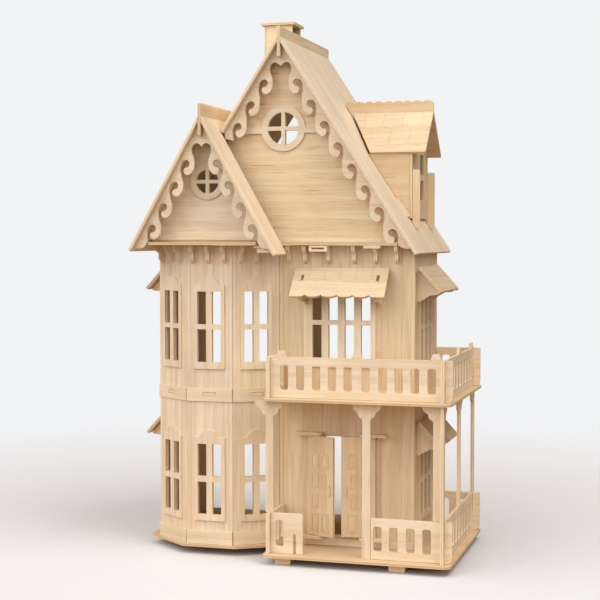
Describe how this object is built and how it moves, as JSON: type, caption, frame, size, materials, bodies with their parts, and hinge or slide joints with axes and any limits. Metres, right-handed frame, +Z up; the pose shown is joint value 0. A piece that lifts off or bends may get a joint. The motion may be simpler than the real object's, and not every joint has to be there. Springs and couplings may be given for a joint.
{
  "type": "wooden dollhouse",
  "caption": "Open-backed plywood dollhouse with a bay, wrap-round porch and balcony, scroll-cut gables, dormer, chimney and a pair of swinging front doors.",
  "frame": {"origin": "centre of the bounding box's bottom, on the surface that the feet stand on", "axes": "+Z up, -Y towards the front with the doors and the gables, +X to the right seen from the front"},
  "size_m": [0.363, 0.239, 0.5728],
  "materials": {
    "plywood_wall": "unfinished plywood, engraved plank lines, matte",
    "plywood_trim": "unfinished plywood, cut edges, matte",
    "plywood_floor": "unfinished plywood, matte",
    "plywood_roof": "unfinished plywood, matte, engraved shingles on the small roofs"
  },
  "bodies": {
    "house": {"base_plate": "plywood_floor", "first_floor": "plywood_floor", "attic_floor": "plywood_floor", "balcony_floor": "plywood_floor", "bay_left_panel": "plywood_wall", "bay_front_panel": "plywood_wall", "bay_right_panel": "plywood_wall", "front_wall": "plywood_wall", "right_wall": "plywood_wall", "left_wall": "plywood_wall", "main_gable_wall": "plywood_wall", "left_gable_wall": "plywood_wall", "chimney_shell": "plywood_wall", "dormer_face": "plywood_wall", "dormer_cheek_front": "plywood_wall", "dormer_cheek_rear": "plywood_wall", "partition_wall": "plywood_wall", "foot_front_left": "plywood_trim", "foot_front_right": "plywood_trim", "foot_rear_right": "plywood_trim", "foot_rear_left": "plywood_trim", "balcony_rail_front": "plywood_trim", "balcony_rail_side": "plywood_trim", "balcony_rail_rear": "plywood_trim", "balcony_rail_left": "plywood_trim", "porch_rail_front_left": "plywood_trim", "porch_rail_front_right": "plywood_trim", "porch_rail_side": "plywood_trim", "porch_rail_rear": "plywood_trim", "porch_rail_left": "plywood_trim", "post_front_left": "plywood_trim", "post_front_middle": "plywood_trim", "post_front_right": "plywood_trim", "post_side_middle": "plywood_trim", "post_side_rear": "plywood_trim", "door_pivot_top_left": "plywood_trim", "door_pivot_top_right": "plywood_trim", "door_pivot_bottom_left": "plywood_trim", "door_pivot_bottom_right": "plywood_trim", "main_bargeboard": "plywood_trim", "left_bargeboard": "plywood_trim", "main_ridge_board": "plywood_trim", "left_gable_crest": "plywood_trim", "chimney_cap": "plywood_trim", "dormer_crest": "plywood_trim", "dormer_shutter_front": "plywood_trim", "dormer_shutter_rear": "plywood_trim", "main_roof_right": "plywood_roof", "main_roof_left": "plywood_roof", "left_gable_roof_left": "plywood_roof", "left_gable_roof_right": "plywood_roof", "dormer_roof_front": "plywood_roof", "dormer_roof_rear": "plywood_roof", "awning_front": "plywood_roof", "awning_right_upper": "plywood_roof", "awning_right_lower": "plywood_roof", "awning_left_upper": "plywood_roof", "awning_left_lower": "plywood_roof"},
    "door_left": {"door_left": "plywood_wall"},
    "door_right": {"door_right": "plywood_wall"}
  },
  "joints": [
    {"name": "door_left_hinge", "type": "hinge", "parent": "house", "child": "door_left", "pos_m": [0.01896, -0.061, 0.07615], "axis": [0, 0, -1], "range_deg": [-26, 74]},
    {"name": "door_right_hinge", "type": "hinge", "parent": "house", "child": "door_right", "pos_m": [0.08946, -0.061, 0.07615], "axis": [0, 0, 1], "range_deg": [-9, 91]}
  ]
}
